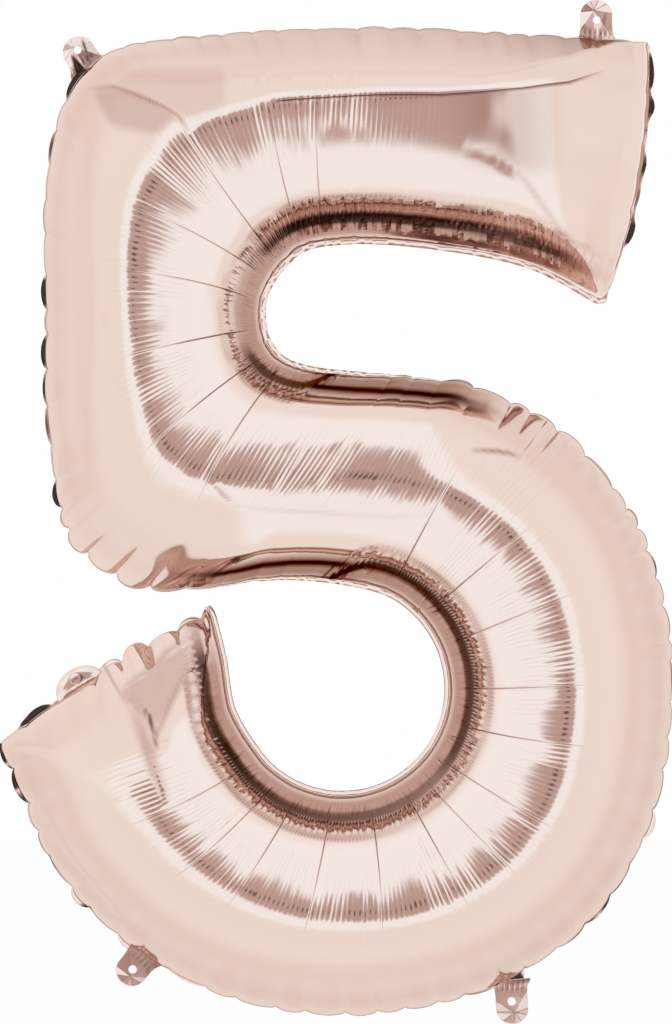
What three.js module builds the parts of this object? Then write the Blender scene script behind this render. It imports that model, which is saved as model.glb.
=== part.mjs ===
// Foil number balloon, the digit five, inflated.
// Millimetres, +Z up. The seam plane is XZ; the front of the balloon faces -Y.
// Two foil panels are welded face to face around their rim and domed by the gas.
// Four punched hanging tabs and the filling neck flex where they leave the rim.
import * as THREE from 'three';

// ---- driving dimensions -------------------------------------------------------------
const FULL_DEPTH = 150;          // front to back over the inflated middle
const WALL = 1.0;                // film, drawn thicker than the real 0.05 mm
const PLY_GAP = 0.3;             // between the front ply and the back ply
const WELD_WIDTH = 5;            // flat heat-sealed rim outside the domes
const END_RISE = 92;             // length over which a closed end swells to full depth
const ARM_END_BOW = 12;          // how far each closed end bulges past a straight line
const TAIL_END_BOW = 6;
const DOME_FULLNESS = 2.3;       // 2 is an ellipse, larger is boxier
const DOME_POWER = 0.62;         // 0.5 meets the seam square, larger meets it flatter

const BOWL_CENTRE = new THREE.Vector2(0, -150);
const BOWL_HALF_WIDTH = 283;
const BOWL_HALF_HEIGHT = 273;
const BOWL_SQUARENESS = 2.25;    // right half; 2 is a plain ellipse
const EYE_CENTRE = new THREE.Vector2(5, -149);
const EYE_RADIUS = 86.5;
const BOWL_START_ANGLE = 66;     // degrees, where the bowl leaves the middle stroke
const BOWL_END_ANGLE = -150;     // degrees, where the bowl runs out into its tail
const BOWL_STATIONS = 12;

const TAB_WIDTH = 27;
const TAB_HOLE_DIAMETER = 6.5;
const TAB_HOLE_FROM_ROOT = 15;
const HINGE_GAP = 3.0;           // bare film between the rim and a flexing lobe

const NECK_WIDTH = 42;
const NECK_LENGTH = 16;
const NECK_ALONG_END = 0.38;     // place on the tail's end edge, from its outer corner
const INLET_DIAMETER = 9;
const INLET_FROM_ROOT = 8;

const VALVE_WIDTH = 30;
const VALVE_LENGTH = 120;
const VALVE_FILM = 0.4;
const VALVE_CLEARANCE = 0.5;     // valve film to the seam plane
const VALVE_START = 14;          // behind the weld, where the domes have opened

// Pairs of points across the stroke: the outline that starts as the top edge,
// and the outline that starts as the underside of the arm.
const ARM_AND_STEM = [
  { top: [264, 397], under: [226, 172] },
  { top: [155, 403], under: [164, 205] },
  { top: [71, 408], under: [79, 222] },
  { top: [-14, 408], under: [12, 226] },
  { top: [-98, 403], under: [-26, 220] },
  { top: [-192, 388], under: [-41, 208] },
  { top: [-226, 352], under: [-51, 195] },
  { top: [-244, 284], under: [-58, 180] },
  { top: [-245, 162], under: [-59, 162] },
  { top: [-243, 70], under: [-55, 145] },
  { top: [-222, -20], under: [-43, 131] },
  { top: [-172, -59], under: [-20, 123] },
  { top: [-115, -65], under: [12, 119] },
  { top: [-64, -58], under: [46, 116] },
  { top: [-14, -59], under: [82, 112] },
];
const TAIL = [
  { top: [-85, -165], under: [-259, -250] },
  { top: [-92, -125], under: [-272, -221] },
  { top: [-101, -85], under: [-283, -195] },
];

// Hanging tabs: a point of the rim that each grows from, direction in degrees, length.
const TABS = [
  { name: 'hang_tab_top_left', rim: [-206, 370], direction: 121, length: 26 },
  { name: 'hang_tab_top_right', rim: [220, 399], direction: 90, length: 32 },
  { name: 'hang_tab_bottom_left', rim: [-164, -377], direction: 231, length: 29 },
  { name: 'hang_tab_bottom_right', rim: [147, -392], direction: 274, length: 34 },
];

const COLUMNS = 12;              // cells across a dome
const ROWS = 72;                 // cells along a dome
const HOLE_SEGMENTS = 32;

const FOIL_COLOUR = 0xe9cbbf;
const FOIL_SHADE = 0xdcb9ab;
const FILM_COLOUR = 0xf1ece8;

const radians = THREE.MathUtils.degToRad;

// ---- the stroke of the digit --------------------------------------------------------
// Distance from the bowl's centre to its outline: an ellipse, squarer on its right.
function bowlReach(spoke) {
  const power = spoke.x > 0 ? BOWL_SQUARENESS : 2;
  const across = Math.abs(spoke.x / BOWL_HALF_WIDTH) ** power;
  const up = Math.abs(spoke.y / BOWL_HALF_HEIGHT) ** power;
  return (across + up) ** (-1 / power);
}

function bowlStations() {
  const stations = [];
  for (let i = 0; i <= BOWL_STATIONS; i += 1) {
    const degrees = THREE.MathUtils.lerp(BOWL_START_ANGLE, BOWL_END_ANGLE, i / BOWL_STATIONS);
    const spoke = new THREE.Vector2(Math.cos(radians(degrees)), Math.sin(radians(degrees)));
    stations.push({
      top: spoke.clone().multiplyScalar(EYE_RADIUS).add(EYE_CENTRE).toArray(),
      under: spoke.clone().multiplyScalar(bowlReach(spoke)).add(BOWL_CENTRE).toArray(),
    });
  }
  return stations;
}

const stations = [...ARM_AND_STEM, ...bowlStations(), ...TAIL];

function sideCurve(side) {
  const points = stations.map((station) => new THREE.Vector3(station[side][0], 0, station[side][1]));
  return new THREE.CatmullRomCurve3(points, false, 'centripetal');
}

const topSide = sideCurve('top');
const underSide = sideCurve('under');

// Length down the middle of the stroke, used to space the rows evenly.
const MIDDLE_SAMPLES = 400;
const middleLengths = [0];
for (let i = 1; i <= MIDDLE_SAMPLES; i += 1) {
  const before = middlePoint((i - 1) / MIDDLE_SAMPLES);
  const after = middlePoint(i / MIDDLE_SAMPLES);
  middleLengths.push(middleLengths[i - 1] + before.distanceTo(after));
}
const strokeLength = middleLengths[MIDDLE_SAMPLES];

function middlePoint(u) {
  return topSide.getPoint(u).add(underSide.getPoint(u)).multiplyScalar(0.5);
}

// Curve parameter at a distance along the middle of the stroke.
function parameterAt(distance) {
  let i = 1;
  while (i < MIDDLE_SAMPLES && middleLengths[i] < distance) i += 1;
  const span = middleLengths[i] - middleLengths[i - 1];
  return (i - 1 + (distance - middleLengths[i - 1]) / span) / MIDDLE_SAMPLES;
}

// A point of the seam plane: distance along the stroke, inset from its two sides.
function planePoint(distance, acrossShare, inset) {
  const u = parameterAt(distance);
  const top = topSide.getPoint(u);
  const under = underSide.getPoint(u);
  const width = top.distanceTo(under);
  const share = (inset + acrossShare * (width - 2 * inset)) / width;
  const point = top.lerp(under, share);
  const nearEnd = Math.max(0, 1 - Math.min(distance, strokeLength - distance) / END_RISE);
  const bow = distance < strokeLength / 2 ? ARM_END_BOW : TAIL_END_BOW;
  const bulge = bow * nearEnd * nearEnd * 4 * share * (1 - share);
  return point.addScaledVector(endOutward(distance), bulge);
}

// Unit direction out of the nearer closed end.
function endOutward(distance) {
  const atStart = distance < strokeLength / 2;
  const end = middlePoint(atStart ? 0 : 1);
  const inside = middlePoint(parameterAt(atStart ? END_RISE : strokeLength - END_RISE));
  return end.sub(inside).normalize();
}

// Height of a dome over the seam plane, from 0 at the seam to 1 in the middle.
function domeHeight(distance, acrossShare) {
  const offCentre = Math.abs(2 * acrossShare - 1);
  const across = (1 - offCentre ** DOME_FULLNESS) ** DOME_POWER;
  const fromEnd = Math.min(distance, strokeLength - distance) - WELD_WIDTH;
  const fade = 1 - Math.min(1, Math.max(0, fromEnd / END_RISE));
  const along = (1 - fade ** DOME_FULLNESS) ** DOME_POWER;
  return across * along;
}

// ---- places on the rim --------------------------------------------------------------
const RIM_SAMPLES = 600;
const rim = [];
for (let i = 0; i <= RIM_SAMPLES; i += 1) {
  const share = i / RIM_SAMPLES;
  rim.push(planePoint(strokeLength * share, 0, 0), planePoint(strokeLength * share, 1, 0));
  rim.push(planePoint(0, share, 0), planePoint(strokeLength, share, 0));
}

// Moves a root straight out along its direction until the whole lobe clears the rim.
function rootOutside(start, direction, width) {
  const out = new THREE.Vector3(Math.cos(radians(direction)), 0, Math.sin(radians(direction)));
  const along = new THREE.Vector3(-out.z, 0, out.x);
  const origin = new THREE.Vector3(start[0], 0, start[1]);
  let reach = -Infinity;
  rim.forEach((point) => {
    const offset = point.clone().sub(origin);
    const beside = Math.abs(offset.dot(along)) <= width / 2 + HINGE_GAP;
    if (beside && offset.length() < 2 * width) reach = Math.max(reach, offset.dot(out));
  });
  origin.addScaledVector(out, reach);
  return [origin.x, origin.z];
}

// ---- foil panels --------------------------------------------------------------------
function rowDistances() {
  const rows = [0, WELD_WIDTH];
  const first = WELD_WIDTH;
  const last = strokeLength - WELD_WIDTH;
  const endCells = 6;
  for (let i = 1; i <= endCells; i += 1) {
    rows.push(first + END_RISE * (1 - Math.cos((Math.PI / 2) * (i / endCells))));
  }
  const middleCells = ROWS - 2 * endCells;
  const middleSpan = last - first - 2 * END_RISE;
  for (let i = 1; i <= middleCells; i += 1) {
    rows.push(first + END_RISE + middleSpan * (i / middleCells));
  }
  for (let i = endCells - 1; i >= 0; i -= 1) {
    rows.push(last - END_RISE * (1 - Math.cos((Math.PI / 2) * (i / endCells))));
  }
  rows.push(strokeLength);
  return rows;
}

function columnPlaces() {
  const places = [{ share: 0, inset: 0 }];
  for (let j = 0; j <= COLUMNS; j += 1) {
    places.push({ share: (1 - Math.cos(Math.PI * (j / COLUMNS))) / 2, inset: WELD_WIDTH });
  }
  places.push({ share: 1, inset: 0 });
  return places;
}

// Depth that a sloping wall takes up, so that it stays one wall thick.
function slopedWall(heights, points, row, column) {
  const before = Math.max(0, column - 1);
  const after = Math.min(points[row].length - 1, column + 1);
  const run = points[row][before].distanceTo(points[row][after]);
  const rise = heights[row][after] - heights[row][before];
  return WALL * Math.min(3, Math.hypot(1, rise / run));
}

// One domed panel; facing is -1 for the front and +1 for the back.
function panelGeometry(facing) {
  const rows = rowDistances();
  const columns = columnPlaces();
  const flat = PLY_GAP / 2 + WALL;
  const domeRise = FULL_DEPTH / 2 - flat;
  const points = rows.map((d) => columns.map((c) => planePoint(d, c.share, c.inset)));
  const heights = rows.map((d) => columns.map((c) => {
    const onWeld = c.inset === 0 || d === 0 || d === strokeLength;
    return onWeld ? flat : flat + domeRise * domeHeight(d, c.share);
  }));
  const positions = [];
  const outer = [];
  const inner = [];
  rows.forEach((distance, i) => {
    outer.push([]);
    inner.push([]);
    columns.forEach((column, j) => {
      const point = points[i][j];
      const height = heights[i][j];
      outer[i].push(positions.length / 3);
      positions.push(point.x, facing * height, point.z);
      const inside = Math.max(PLY_GAP / 2, height - slopedWall(heights, points, i, j));
      inner[i].push(positions.length / 3);
      positions.push(point.x, facing * inside, point.z);
    });
  });
  const faces = [];
  const quad = (a, b, c, d) => faces.push(a, b, c, a, c, d);
  const lastRow = rows.length - 1;
  const lastColumn = columns.length - 1;
  for (let i = 0; i < lastRow; i += 1) {
    for (let j = 0; j < lastColumn; j += 1) {
      quad(outer[i][j], outer[i + 1][j], outer[i + 1][j + 1], outer[i][j + 1]);
      quad(inner[i][j], inner[i][j + 1], inner[i + 1][j + 1], inner[i + 1][j]);
    }
    quad(outer[i][0], inner[i][0], inner[i + 1][0], outer[i + 1][0]);
    quad(outer[i + 1][lastColumn], inner[i + 1][lastColumn], inner[i][lastColumn], outer[i][lastColumn]);
  }
  for (let j = 0; j < lastColumn; j += 1) {
    quad(outer[0][j + 1], inner[0][j + 1], inner[0][j], outer[0][j]);
    quad(outer[lastRow][j], inner[lastRow][j], inner[lastRow][j + 1], outer[lastRow][j + 1]);
  }
  return closedGeometry(positions, faces, facing > 0);
}

function closedGeometry(positions, faces, flip) {
  const geometry = new THREE.BufferGeometry();
  geometry.setAttribute('position', new THREE.Float32BufferAttribute(positions, 3));
  const ordered = [];
  for (let i = 0; i < faces.length; i += 3) {
    const [a, b, c] = faces.slice(i, i + 3);
    ordered.push(...(flip ? [a, c, b] : [a, b, c]));
  }
  geometry.setIndex(ordered);
  return geometry;
}

// ---- flat lobes: tabs, neck plies and valve films -------------------------------------
// A rounded lobe that grows along +Y of its own plane from a root on the X axis.
function lobeShape(width, length, hole) {
  const half = width / 2;
  const shoulder = Math.max(HINGE_GAP + 1, length - half);
  const shape = new THREE.Shape();
  shape.moveTo(-half, HINGE_GAP);
  shape.lineTo(half, HINGE_GAP);
  shape.lineTo(half, shoulder);
  shape.bezierCurveTo(half, length - half * 0.3, half * 0.6, length, 0, length);
  shape.bezierCurveTo(-half * 0.6, length, -half, length - half * 0.3, -half, shoulder);
  shape.closePath();
  if (hole) {
    const bore = new THREE.Path();
    bore.absarc(0, hole.fromRoot, hole.diameter / 2, 0, 2 * Math.PI, true);
    shape.holes.push(bore);
  }
  return shape;
}

// Extrude a shape drawn in its own XY plane and stand it up in the seam plane.
function standingPlate(shape, thickness, nearFace, root, direction) {
  const geometry = new THREE.ExtrudeGeometry(shape, {
    depth: thickness,
    bevelEnabled: false,
    curveSegments: HOLE_SEGMENTS / 4,
  });
  geometry.rotateZ(radians(direction - 90));
  geometry.rotateX(Math.PI / 2);
  geometry.translate(root[0], nearFace + thickness, root[1]);
  return geometry;
}

function piece(name, geometry, colour, roughness, metalness) {
  const material = new THREE.MeshStandardMaterial({ color: colour, roughness, metalness });
  const mesh = new THREE.Mesh(geometry, material);
  mesh.name = name;
  return mesh;
}

function foilPanels() {
  const group = new THREE.Group();
  group.add(piece('front_panel', panelGeometry(-1), FOIL_COLOUR, 0.12, 1));
  group.add(piece('back_panel', panelGeometry(1), FOIL_SHADE, 0.12, 1));
  return group;
}

function hangingTabs() {
  const group = new THREE.Group();
  TABS.forEach((tab) => {
    const hole = { fromRoot: TAB_HOLE_FROM_ROOT, diameter: TAB_HOLE_DIAMETER };
    const shape = lobeShape(TAB_WIDTH, tab.length, hole);
    const root = rootOutside(tab.rim, tab.direction, TAB_WIDTH);
    const plate = standingPlate(shape, 2 * WALL, -WALL, root, tab.direction);
    group.add(piece(tab.name, plate, FOIL_COLOUR, 0.18, 1));
  });
  return group;
}

// Root of the neck on the tail's end edge, and the direction that it points in.
function neckPlace() {
  const start = planePoint(strokeLength, 1 - NECK_ALONG_END, 0);
  const outward = endOutward(strokeLength);
  const top = topSide.getPoint(1);
  const edge = underSide.getPoint(1).sub(top).normalize();
  const square = outward.addScaledVector(edge, -outward.dot(edge)).normalize();
  const direction = THREE.MathUtils.radToDeg(Math.atan2(square.z, square.x));
  return { root: rootOutside([start.x, start.z], direction, NECK_WIDTH), direction };
}

function fillNeck() {
  const group = new THREE.Group();
  const { root, direction } = neckPlace();
  const inlet = { fromRoot: INLET_FROM_ROOT, diameter: INLET_DIAMETER };
  const open = lobeShape(NECK_WIDTH, NECK_LENGTH, inlet);
  const plain = lobeShape(NECK_WIDTH, NECK_LENGTH, null);
  const front = standingPlate(open, WALL, -PLY_GAP / 2 - WALL, root, direction);
  const back = standingPlate(plain, WALL, PLY_GAP / 2, root, direction);
  group.add(piece('fill_neck_front_ply', front, FOIL_COLOUR, 0.15, 1));
  group.add(piece('fill_neck_back_ply', back, FOIL_SHADE, 0.15, 1));
  return group;
}

// The self-closing valve: two clear films that lie together inside the envelope.
function valveFilms() {
  const group = new THREE.Group();
  const { root, direction } = neckPlace();
  const half = VALVE_WIDTH / 2;
  const strip = new THREE.Shape();
  strip.moveTo(-half, -VALVE_START);
  strip.lineTo(-half * 0.8, -VALVE_START - VALVE_LENGTH);
  strip.lineTo(half * 0.8, -VALVE_START - VALVE_LENGTH);
  strip.lineTo(half, -VALVE_START);
  strip.closePath();
  const front = standingPlate(strip, VALVE_FILM, -VALVE_CLEARANCE - VALVE_FILM, root, direction);
  const back = standingPlate(strip, VALVE_FILM, VALVE_CLEARANCE, root, direction);
  group.add(piece('valve_film_front', front, FILM_COLOUR, 0.35, 0));
  group.add(piece('valve_film_back', back, FILM_COLOUR, 0.35, 0));
  return group;
}

// ---- assembly -------------------------------------------------------------------------
const balloon = new THREE.Group();
balloon.add(foilPanels(), hangingTabs(), fillNeck(), valveFilms());

// The frame's origin is the middle of the whole balloon.
const box = new THREE.Box3().setFromObject(balloon);
balloon.position.copy(box.getCenter(new THREE.Vector3()).negate());

export default balloon;
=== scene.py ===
"""Foil number balloon, the digit five: pleated foil panels, crinkled tabs and filling neck."""

import math

import bpy
import numpy as np
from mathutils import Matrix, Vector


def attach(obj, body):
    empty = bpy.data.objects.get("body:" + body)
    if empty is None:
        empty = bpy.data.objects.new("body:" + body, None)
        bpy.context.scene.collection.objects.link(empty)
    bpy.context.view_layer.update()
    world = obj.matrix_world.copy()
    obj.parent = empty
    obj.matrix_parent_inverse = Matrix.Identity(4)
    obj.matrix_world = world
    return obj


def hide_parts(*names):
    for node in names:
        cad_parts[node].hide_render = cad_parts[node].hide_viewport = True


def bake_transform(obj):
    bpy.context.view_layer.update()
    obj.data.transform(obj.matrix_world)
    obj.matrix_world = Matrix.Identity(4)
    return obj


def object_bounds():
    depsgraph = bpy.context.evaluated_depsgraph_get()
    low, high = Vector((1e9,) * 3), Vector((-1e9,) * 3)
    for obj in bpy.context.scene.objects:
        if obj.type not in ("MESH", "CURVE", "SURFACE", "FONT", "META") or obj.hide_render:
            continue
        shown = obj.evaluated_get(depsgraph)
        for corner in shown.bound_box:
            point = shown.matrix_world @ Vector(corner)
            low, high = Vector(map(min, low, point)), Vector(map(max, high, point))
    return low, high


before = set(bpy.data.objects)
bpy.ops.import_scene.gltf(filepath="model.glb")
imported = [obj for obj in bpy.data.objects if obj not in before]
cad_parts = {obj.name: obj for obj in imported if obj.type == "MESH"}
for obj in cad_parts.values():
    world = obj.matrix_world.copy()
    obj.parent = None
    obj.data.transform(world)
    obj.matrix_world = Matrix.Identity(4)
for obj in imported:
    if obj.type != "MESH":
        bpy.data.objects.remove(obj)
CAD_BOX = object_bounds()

# ---- driving sizes, in millimetres -----------------------------------------------------
MM = 0.001
BOWL_CENTRE = np.array((0.0, -150.0))
BOWL_HALF_WIDTH = 283.0
BOWL_HALF_HEIGHT = 273.0
BOWL_SQUARENESS = 2.25
EYE_CENTRE = np.array((5.0, -149.0))
EYE_RADIUS = 86.5
BOWL_ANGLES = np.linspace(66.0, -150.0, 13)
ARM_AND_STEM = (
    ((264, 397), (226, 172)), ((155, 403), (164, 205)), ((71, 408), (79, 222)),
    ((-14, 408), (12, 226)), ((-98, 403), (-26, 220)), ((-192, 388), (-41, 208)),
    ((-226, 352), (-51, 195)), ((-244, 284), (-58, 180)), ((-245, 162), (-59, 162)),
    ((-243, 70), (-55, 145)), ((-222, -20), (-43, 131)), ((-172, -59), (-20, 123)),
    ((-115, -65), (12, 119)), ((-64, -58), (46, 116)), ((-14, -59), (82, 112)),
)
TAIL = (((-85, -165), (-259, -250)), ((-92, -125), (-272, -221)), ((-101, -85), (-283, -195)))
ARM_END_BOW = 12.0
TAIL_END_BOW = 6.0
ARM_CORNER = 13.0                # rounding of the arm's lower corner
TAIL_CORNER = 9.0                # rounding of the tail's tip
CRISP_CORNER = 3.0
END_RISE = 104.0
SEAM_HALF = 0.35                 # half the thickness of the welded rim
HALF_DEPTH = 71.0
FILM = 0.35                      # wall of the finished film pieces
INNER_WELD = 4.5                 # flat rim left on the inside of a bend
OUTER_WELD = 0.8                 # what the gathers leave of it on the outside
END_WELD = 1.5
ARM_DROP = 3.0                   # how much shallower the arm is at its end
CRESCENT = 5.5                   # how far the widest bare crescent of the rim shows
FAN = 0.65                       # cross share that the long pleats spread over
TURN = (690, 830)                # where the inside of the bend changes sides
RIB_PITCH = 4.2
RIM_RIB_PITCH = 8.4

COLUMNS = 1500
HALF_ROWS = 44

# Cross share of the film's crest at distances along the stroke.
CREST = (
    (0, 0.06), (25, 0.11), (55, 0.195), (89, 0.25), (125, 0.29), (159, 0.32), (243, 0.345),
    (288, 0.35), (330, 0.40), (391, 0.45), (438, 0.42), (498, 0.41), (590, 0.46),
    (638, 0.485), (700, 0.505), (800, 0.505), (848, 0.505), (906, 0.515), (965, 0.525),
    (1057, 0.53), (1163, 0.54), (1299, 0.545), (1363, 0.535), (1427, 0.52), (1519, 0.51),
    (1646, 0.50),
)
# How steep the film is between its crest (0) and its seam (1): on the inside of a bend,
# on a straight stretch, and on the outside of a bend.
INNER_SLOPE = ((0, 0), (0.12, 0.12), (0.5, 0.28), (0.66, 0.45), (0.74, 1.1), (0.85, 1.9), (1, 1.9))
LEVEL_SLOPE = ((0, 0), (0.3, 0.1), (0.55, 0.28), (0.68, 0.5), (0.76, 1.2), (0.86, 2.0), (1, 2.0))
OUTER_SLOPE = ((0, 0), (0.07, 0.13), (0.17, 0.44), (0.5, 0.82), (0.8, 1.1), (1, 1.3))

# Lines that fan out of the two inside bends: place at the inside of the bend, place at
# FAN across the stroke, and how deep a pleat the film has there (0 is only a guide).
FANS = (
    (0, 0, 0.0), (100, 100, 0.0), (160, 152, 0.0), (206, 190, 0.0), (244, 226, 0.0),
    (281, 259, 0.8), (313, 296, 1.0), (376, 361, 1.3), (407, 435, 1.2), (462, 482, 1.1),
    (535, 541, 1.2), (595, 612, 1.2), (633, 669, 1.2), (690, 712, 0.0), (750, 752, 0.0),
    (800, 800, 0.0), (849, 856, 1.3), (921, 925, 1.2), (982, 984, 1.0), (1056, 1052, 1.1),
    (1113, 1097, 1.0), (1172, 1162, 1.1), (1212, 1206, 0.9), (1246, 1249, 1.0),
    (1302, 1316, 1.2), (1364, 1374, 1.1), (1419, 1435, 1.0), (1459, 1479, 1.0),
    (1508, 1530, 0.9), (1580, 1592, 0.0), (1646, 1646, 0.0),
)
PLEAT_COLUMNS = (-1.9, -1.0, -0.45, 0.0, 0.45, 1.0, 1.9)


def smooth(low, high, x):
    """0 below low, 1 above high, with an eased step between."""
    t = np.clip((x - low) / (high - low), 0.0, 1.0)
    return t * t * (3.0 - 2.0 * t)


def mix(a, b, t):
    """The value t of the way from a to b."""
    return a + (b - a) * t


# ---- the stroke of the digit -------------------------------------------------------------
def bowl_reach(spoke):
    """Distance from the bowl's centre to its outline: an ellipse, squarer on its right."""
    power = BOWL_SQUARENESS if spoke[0] > 0 else 2.0
    across = abs(spoke[0] / BOWL_HALF_WIDTH) ** power
    up = abs(spoke[1] / BOWL_HALF_HEIGHT) ** power
    return (across + up) ** (-1.0 / power)


def side_points():
    """The outline's points on the two sides of the stroke."""
    top = [a for a, _ in ARM_AND_STEM]
    under = [b for _, b in ARM_AND_STEM]
    for angle in np.radians(BOWL_ANGLES):
        spoke = np.array((math.cos(angle), math.sin(angle)))
        top.append(EYE_CENTRE + EYE_RADIUS * spoke)
        under.append(BOWL_CENTRE + bowl_reach(spoke) * spoke)
    top += [a for a, _ in TAIL]
    under += [b for _, b in TAIL]
    return np.array(top, float), np.array(under, float)


def through(points, share):
    """Centripetal Catmull-Rom curve through points, at shares of their count."""
    p = np.vstack((2 * points[0] - points[1], points, 2 * points[-1] - points[-2]))
    spot = np.clip(share, 0, 1) * (len(points) - 1)
    i = np.minimum(spot.astype(int), len(points) - 2)
    w = (spot - i)[:, None]
    p0, p1, p2, p3 = p[i], p[i + 1], p[i + 2], p[i + 3]
    d0 = np.linalg.norm(p1 - p0, axis=1, keepdims=True) ** 0.5
    d1 = np.linalg.norm(p2 - p1, axis=1, keepdims=True) ** 0.5
    d2 = np.linalg.norm(p3 - p2, axis=1, keepdims=True) ** 0.5
    m1 = ((p1 - p0) / d0 - (p2 - p0) / (d0 + d1) + (p2 - p1) / d1) * d1
    m2 = ((p2 - p1) / d1 - (p3 - p1) / (d1 + d2) + (p3 - p2) / d2) * d1
    square = 3 * (p2 - p1) - 2 * m1 - m2
    cube = 2 * (p1 - p2) + m1 + m2
    return p1 + m1 * w + square * w ** 2 + cube * w ** 3


TOP, UNDER = side_points()
SHARES = np.linspace(0.0, 1.0, 1601)
MIDDLE = (through(TOP, SHARES) + through(UNDER, SHARES)) / 2
STEPS = np.linalg.norm(np.diff(MIDDLE, axis=0), axis=1)
ALONG = np.concatenate(([0.0], np.cumsum(STEPS)))
LENGTH = float(ALONG[-1])


def sides(s):
    """The stroke's two side points at distances s (any shape) along its middle."""
    share = np.interp(np.ravel(s), ALONG, SHARES)
    shape = np.shape(s) + (2,)
    return through(TOP, share).reshape(shape), through(UNDER, share).reshape(shape)


def end_direction(at_arm):
    """Unit direction out of one closed end."""
    end, inside = (0.0, END_RISE) if at_arm else (LENGTH, LENGTH - END_RISE)
    top, under = sides(np.array((end, inside)))
    middle = (top + under) / 2
    away = middle[0] - middle[1]
    return away / np.linalg.norm(away)


def corner_inset(from_end, radius):
    """How far a rounded corner stands in from the stroke's side near an end."""
    left = radius - np.clip(from_end, 0, radius)
    return radius - np.sqrt(radius ** 2 - left ** 2)


def seam_plane(s, u):
    """Points (x, z) of the seam plane at distances s and cross shares u."""
    top, under = sides(s)
    width = np.linalg.norm(top - under, axis=-1)
    top_in = corner_inset(LENGTH - s, TAIL_CORNER) + corner_inset(s, CRISP_CORNER)
    under_in = corner_inset(s, ARM_CORNER) + corner_inset(LENGTH - s, CRISP_CORNER)
    flat = mix(top, under, mix(top_in / width, 1 - under_in / width, u)[..., None])
    near = np.clip(1 - np.minimum(s, LENGTH - s) / END_RISE, 0, None) ** 2
    at_arm = s < LENGTH / 2
    bow = np.where(at_arm, ARM_END_BOW, TAIL_END_BOW) * near
    out = np.where(at_arm[..., None], end_direction(True), end_direction(False))
    return flat + (bow * 4 * u * (1 - u))[..., None] * out


# ---- shape of the blown-up film ----------------------------------------------------------
def inside_bend(s):
    """+1 where the under side is the inside of the bend, -1 where the top side is."""
    return 1.0 - 2.0 * smooth(*TURN, s)


def from_inside(s, u):
    """Cross share measured from the side that is the inside of the bend."""
    side = (inside_bend(s) + 1) / 2
    return mix(u, 1 - u, side)


def uneven(places, seed):
    """A smooth random curve, from -1 to 1, read at any places; its knots are 1 apart."""
    knots = np.random.default_rng(seed).uniform(-1, 1, 4096)
    i = np.floor(places).astype(int)
    t = places - i
    t = t * t * (3 - 2 * t)
    return mix(knots[i % 4096], knots[(i + 1) % 4096], t)


def column_places():
    """Places of the columns at FAN across the stroke: even, and close to every pleat."""
    fine = np.linspace(0, LENGTH, 4000)
    pleated = smooth(170, 240, fine) * (1 - smooth(1560, 1600, fine))
    ends = 1 - smooth(0, 60, np.minimum(fine, LENGTH - fine))
    want = np.cumsum(0.45 + 0.55 * pleated + 0.9 * ends)
    want = (want - want[0]) / (want[-1] - want[0])
    even = np.interp(np.linspace(0, 1, COLUMNS + 1), want, fine)
    pleats = np.array([outer for _, outer, depth in FANS if depth])
    close = (pleats[:, None] + np.array(PLEAT_COLUMNS)).ravel()
    clear = np.abs(even[:, None] - pleats).min(axis=1) > max(PLEAT_COLUMNS) + 0.6
    return np.sort(np.concatenate((even[clear], close)))


def fanned(column, t):
    """Distances along the stroke of the fanned columns, at cross shares t from the inside."""
    inner = np.array([line[0] for line in FANS], float)
    outer = np.array([line[1] for line in FANS], float)
    at_inside = np.interp(column, outer, inner)
    return mix(at_inside[:, None], column[:, None], np.clip(t / FAN, 0, 1.25))


def crest_share(s):
    """Cross share of the crest at distances s."""
    return np.interp(s, [place for place, _ in CREST], [share for _, share in CREST])


def fall(slopes, x):
    """Height left, from 1 at the crest to 0 at the seam, of a flank with these slopes."""
    fine = np.linspace(0, 1, 400)
    steep = np.interp(fine, [place for place, _ in slopes], [slope for _, slope in slopes])
    lost = np.cumsum(steep) - steep[0]
    return 1 - np.interp(x, fine, lost / lost[-1])


def dome(s, b):
    """Height of the film over the seam plane as a share of half the depth.

    b is the place across the flank: -1 at the top side, 0 at the crest, 1 under.
    """
    top_inner = smooth(680, 740, s)
    under_inner = 1 - smooth(810, 890, s)
    inner = np.where(b < 0, top_inner, under_inner)
    x = np.abs(b)
    middle = smooth(600, 680, s) * (1 - smooth(820, 900, s))
    level = np.where(b > 0, middle, 0.3 * middle) + 1 - smooth(90, 330, s)
    inside = mix(fall(INNER_SLOPE, x), fall(LEVEL_SLOPE, x), level)
    across = mix(fall(OUTER_SLOPE, x), inside, inner)
    from_end = (np.minimum(s, LENGTH - s) - END_WELD) / END_RISE
    end_share = np.clip(from_end, 0, 1)
    closing = 1.06 * fall(OUTER_SLOPE, 1 - end_share) + 0.32 * smooth(0.72, 1.6, from_end)
    soft = mix(0.10, 0.30, smooth(0.5, 0.9, across))
    gap = np.clip(0.5 + (closing - across) / (2 * soft), 0, 1)
    return mix(closing, across, gap) - soft * gap * (1 - gap)


def segment(column):
    """Which pleat lies before each column, and the share of the way to the next one."""
    lines = np.array([line[1] for line in FANS], float)
    k = np.clip(np.searchsorted(lines, column, side="right") - 1, 0, len(lines) - 2)
    return k, (column - lines[k]) / (lines[k + 1] - lines[k]), lines[k + 1] - lines[k]


def nearest_pleat(column):
    """Distance to the nearest pleat, and how deep that pleat is."""
    depth = np.array([line[2] for line in FANS], float)
    k, phase, width = segment(column)
    near = np.minimum(phase, 1 - phase) * width
    return near, np.where(phase < 0.5, depth[k], depth[k + 1])


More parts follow.
